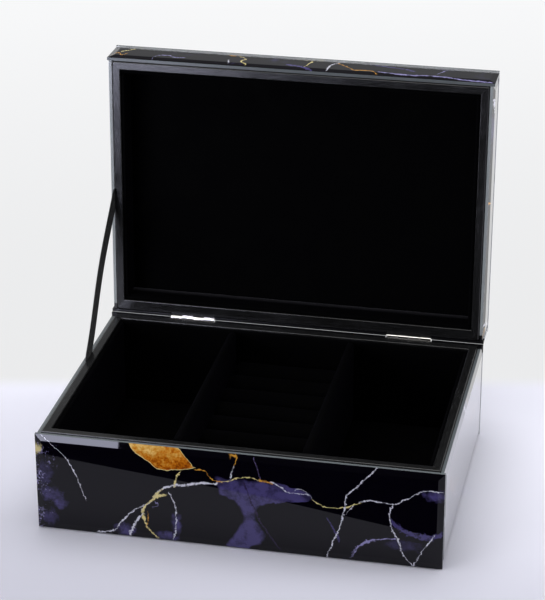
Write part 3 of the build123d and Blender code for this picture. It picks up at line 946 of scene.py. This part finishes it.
def sew_roll(piece, low, high, seed):
    """End tucks, soft wraps round the foam, and the lengthwise seam underneath."""
    centre = (low + high) / 2
    half_length = (high.x - low.x) / 2
    radius = (high.z - low.z) / 2
    for vertex in piece.data.vertices:
        away = vertex.co - centre
        angle = math.atan2(away.z, away.y)
        to_end = half_length - abs(away.x)
        wrap = noise.noise(Vector((away.x / MM / 16.0, angle * 1.6, seed)))
        creep = noise.noise(Vector((away.x / MM / 3.0, angle * 5.0, seed + 9.0)))
        tuck = math.exp(-((to_end / TUCK_REACH) ** 2)) * math.sin(angle * TUCKS_AROUND + 3 * wrap)
        seam = math.exp(-(((angle + math.pi / 2) / SEAM_HALF_ANGLE) ** 2))
        push = WRAP_RISE * wrap + CREEP_RISE * creep + TUCK_RISE * tuck - SEAM_DEPTH * seam
        radial = Vector((0, away.y, away.z))
        if radial.length > 0.1 * radius:
            vertex.co += radial.normalized() * push


for index in range(1, ROLL_COUNT + 1):
    roll_node = f"ring_roll_{index}"
    roll_low, roll_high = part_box(roll_node)
    roll = roll_form("velvet_" + roll_node, roll_low, roll_high)
    remesh(roll)
    inflate(roll)
    subdivide(roll)
    sew_roll(roll, roll_low, roll_high, 4.0 * index)
    roll.data.shade_smooth()
    roll.data.materials.append(VELVET)
    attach(roll, "base")
    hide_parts(roll_node)


# ---------- ribbon stay

RIBBON_LOW, RIBBON_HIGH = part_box("ribbon_stay")
RIBBON_PLANE = (RIBBON_LOW.x + RIBBON_HIGH.x) / 2
RIBBON_THICKNESS = RIBBON_HIGH.x - RIBBON_LOW.x
RIBBON_WIDTH = 0.012
RIBBON_TAB = 0.0115
SELVAGE = 0.0005
RIBBON_BOW = 0.0011
RIBBON_TWIST = 0.00025
RIBBON_CUP = 0.00018
CUP_LENGTH = 0.009

# Where the ribbon leaves the seams, measured forward from the hinge line on the closed box.
BASE_REACH = 0.0675
LID_REACH = 0.0785
LID_RIM_RISE = 0.0004
base_exit = Vector((RIBBON_PLANE, HINGE.y - BASE_REACH, RIM_HEIGHT))
lid_exit = LID_OPENING @ Vector((RIBBON_PLANE, HINGE.y - LID_REACH, RIM_HEIGHT + LID_RIM_RISE))
base_in = -UPWARD
lid_in = LID_TURN @ UPWARD


def ribbon_route():
    """Points from the base tab's end to the lid tab's end, with a slight bow outward."""
    points = []
    tab_steps = 8
    span_steps = 84
    for step in range(tab_steps):
        points.append(base_exit + base_in * RIBBON_TAB * (1 - step / tab_steps))
    span = lid_exit - base_exit
    for step in range(span_steps + 1):
        part = step / span_steps
        bow = RIBBON_BOW * math.sin(math.pi * part) ** 2
        twist = RIBBON_TWIST * math.sin(math.tau * part)
        points.append(base_exit + span * part + Vector((-bow + twist, 0, 0)))
    for step in range(1, tab_steps + 1):
        points.append(lid_exit + lid_in * RIBBON_TAB * step / tab_steps)
    return points


def ribbon_section():
    """(across, through) round the ribbon: flat faces between two rounded selvages."""
    half = RIBBON_WIDTH / 2
    shoulder = 1.6 * SELVAGE
    columns = [-half, -half + 0.3 * SELVAGE, -half + SELVAGE, -half + shoulder]
    inner = [-half + shoulder + 2 * (half - shoulder) * step / 12 for step in range(1, 12)]
    columns += inner + [-column for column in reversed(columns)]
    thin = RIBBON_THICKNESS / 2
    thickness = []
    for column in columns:
        edge = half - abs(column)
        if edge < SELVAGE:
            rounded = math.sqrt(max(0.0, 1 - (1 - edge / SELVAGE) ** 2))
            thickness.append(thin * 1.25 * rounded + 0.00004)
        else:
            fall = min(1.0, (edge - SELVAGE) / (0.6 * SELVAGE))
            thickness.append(thin * (0.8 + 0.2 * math.cos(math.pi * fall)))
    front = list(zip(columns, thickness))
    back = [(column, -half_thickness) for column, half_thickness in reversed(front)]
    return front + back


def make_ribbon():
    """The ribbon as one skin, with a map of its threads in millimetres along and across."""
    route = ribbon_route()
    section = ribbon_section()
    bm = bmesh.new()
    thread_map = bm.loops.layers.uv.new("thread_count")
    threads = {}
    rings = []
    travelled = 0.0
    for index, point in enumerate(route):
        before = route[max(0, index - 1)]
        after = route[min(len(route) - 1, index + 1)]
        along = (after - before).normalized()
        travelled += (point - before).length
        across = along.cross(RIGHTWARD).normalized()
        outward = across.cross(along).normalized()
        cup = RIBBON_CUP * math.sin(travelled / CUP_LENGTH)
        ring = []
        for column, through in section:
            dish = cup * (1 - (2 * column / RIBBON_WIDTH) ** 2)
            offset = outward * (through + dish) + across * column
            vertex = bm.verts.new(point + offset)
            threads[vertex] = (travelled / MM, column / MM)
            ring.append(vertex)
        rings.append(ring)
    for quad in skin(bm, rings):
        for loop in quad.loops:
            loop[thread_map].uv = threads[loop.vert]
    made = new_piece("satin_ribbon_stay", bm)
    made.data.shade_smooth()
    made.data.materials.append(satin_ribbon())
    return made


ribbon = make_ribbon()
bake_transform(ribbon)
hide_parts("ribbon_stay")


# ---------- stage, light and camera


def stage_plane(name, corners, material):
    """A flat part of the studio, outside the model."""
    mesh = bpy.data.meshes.new(name)
    mesh.from_pydata(corners, [], [tuple(range(len(corners)))])
    mesh.materials.append(material)
    made = bpy.data.objects.new(name, mesh)
    bpy.context.scene.collection.objects.link(made)
    return made


CAMERA_YAW = math.radians(11.83)
CAMERA_PITCH = math.radians(24.67)
CAMERA_PLACE = Vector((0.2602, -1.2275, 0.6968))
CAMERA_LENS = 154.1
VIEW_HEADING = Vector((-math.sin(CAMERA_YAW), math.cos(CAMERA_YAW), 0.0))
VIEW_SIDE = Vector((math.cos(CAMERA_YAW), math.sin(CAMERA_YAW), 0.0))


FLOOR_SHADE = (0.54, 0.54, 0.625, 1.0)
FLOOR_LIGHT = (0.89, 0.89, 1.0, 1.0)
BLACK = (0.0, 0.0, 0.0, 1.0)


def floor_finish():
    """A pale sweep: cool grey under the box and white behind it."""
    shader = Shader("studio_floor", IOR=1.3, Specular_IOR_Level=0.1)
    place = shader.coordinate()
    depth = shader.vector("DOT_PRODUCT", place, VIEW_HEADING)
    grain = shader.noise(place, 3.0, 3.0)
    beyond = shader.smooth(depth, 0.118, 0.142)
    lightward = shader.vector("DOT_PRODUCT", place, VIEW_HEADING + 0.3 * VIEW_SIDE)
    lit = shader.mix(shader.smooth(lightward, -0.19, 0.11), FLOOR_SHADE, FLOOR_LIGHT)
    colour = shader.mix(beyond, lit, BLACK)
    glow = shader.times(beyond, shader.smooth(depth, 0.1, 1.3, 0.835, 0.97))
    shader.put(shader.surface.inputs["Emission Color"], (0.985, 0.99, 1.0, 1))
    shader.put(shader.surface.inputs["Emission Strength"], glow)
    return shader.finish(colour, shader.smooth(grain, 0.3, 0.7, 0.6, 0.75))


def emitting(name, strength, tint=(1.0, 1.0, 1.0)):
    """A surface that gives light of its own and reflects none."""
    constants = {"Base_Color": BLACK, "Emission_Color": (*tint, 1), "Emission_Strength": strength}
    return Shader(name, Specular_IOR_Level=0.0, **constants).material


FLOOR_REACH = 4.0
FLAG_RISE = 0.0008
FLAG_LEFT = -0.9
FLAG_RIGHT = 0.126
FLAG_NEAR = -3.0
CARD_RIGHT = (-0.24, -0.76)
CARD_LEFT = (-1.0, -0.66)
CARD_TOP = 0.4

stage_plane(
    "studio_floor",
    [(x * FLOOR_REACH, y * FLOOR_REACH, 0) for x, y in ((-1, -1), (1, -1), (1, 1), (-1, 1))],
    floor_finish(),
)

# The dark flag lies in front of the box; its far edge is the slanting line mirrored in the front glass.
flag = stage_plane(
    "dark_flag",
    [
        (FLAG_LEFT, -0.285, FLAG_RISE),
        (-0.141, -0.172, FLAG_RISE),
        (0.005, -0.147, FLAG_RISE),
        (FLAG_RIGHT, -0.118, FLAG_RISE),
        (FLAG_RIGHT, FLAG_NEAR, FLAG_RISE),
        (FLAG_LEFT, FLAG_NEAR, FLAG_RISE),
    ],
    emitting("flag_black", 0.0),
)
card = stage_plane(
    "bright_card",
    [(*CARD_RIGHT, FLAG_RISE), (*CARD_LEFT, FLAG_RISE), (*CARD_LEFT, CARD_TOP), (*CARD_RIGHT, CARD_TOP)],
    emitting("card_white", 12.0, (0.93, 0.95, 1.2)),
)
for mirror_only in (flag, card):
    mirror_only.visible_camera = False
    mirror_only.visible_diffuse = False
    mirror_only.visible_shadow = False


def soft_light(name, place, target, width, height, power, glossy=True):
    """A rectangular area light that faces its target."""
    data = bpy.data.lights.new(name, "AREA")
    data.shape = "RECTANGLE"
    data.size = width
    data.size_y = height
    data.energy = power
    made = bpy.data.objects.new(name, data)
    made.location = place
    made.rotation_euler = (Vector(target) - Vector(place)).to_track_quat("-Z", "Y").to_euler()
    made.visible_glossy = glossy
    bpy.context.scene.collection.objects.link(made)


soft_light("overhead_softbox", (-0.1, 0.05, 1.5), (0, 0, 0), width=1.8, height=1.6, power=26.5)
soft_light("left_softbox", (-1.15, -1.35, 0.42), (0, 0, 0.1), width=0.9, height=0.9, power=13.0)
soft_light("right_softbox", (1.6, 0.1, 0.45), (0.2, 0, 0.0), width=0.9, height=0.6, power=14.0, glossy=False)


def studio_world():
    """White behind the box for the lens; for reflections, white low at the back and dark at the front."""
    world = bpy.data.worlds.new("studio_world")
    bpy.context.scene.world = world
    world.use_nodes = True
    world.node_tree.nodes.clear()
    nodes = Nodes(world.node_tree)
    _, backward, upward = nodes.parts(nodes.coordinate("Generated"))
    behind = nodes.smooth(backward, -0.1, 0.5, 0.03, 1.0)
    low = nodes.smooth(upward, 0.05, 0.34, 1.0, 0.25)
    mirrored = nodes.times(behind, low)
    for_lens = nodes.smooth(upward, -0.4, 0.1, 0.80, 0.93)
    seen = nodes.node("ShaderNodeLightPath", {}).outputs["Is Camera Ray"]
    chosen = nodes.node("ShaderNodeMix", {0: seen, 2: mirrored, 3: for_lens}, data_type="FLOAT")
    light = {"Color": (0.97, 0.98, 1.0, 1.0), "Strength": chosen.outputs[0]}
    background = nodes.node("ShaderNodeBackground", light)
    nodes.node("ShaderNodeOutputWorld", {"Surface": background.outputs[0]})


studio_world()

camera_data = bpy.data.cameras.new("studio_camera")
camera_data.sensor_width = 36.0
camera_data.sensor_fit = "HORIZONTAL"
camera_data.lens = CAMERA_LENS
camera = bpy.data.objects.new("studio_camera", camera_data)
camera.location = CAMERA_PLACE
camera.rotation_euler = (math.pi / 2 - CAMERA_PITCH, 0.0, CAMERA_YAW)
bpy.context.scene.collection.objects.link(camera)
bpy.context.scene.camera = camera

bpy.context.scene.view_settings.view_transform = "Standard"
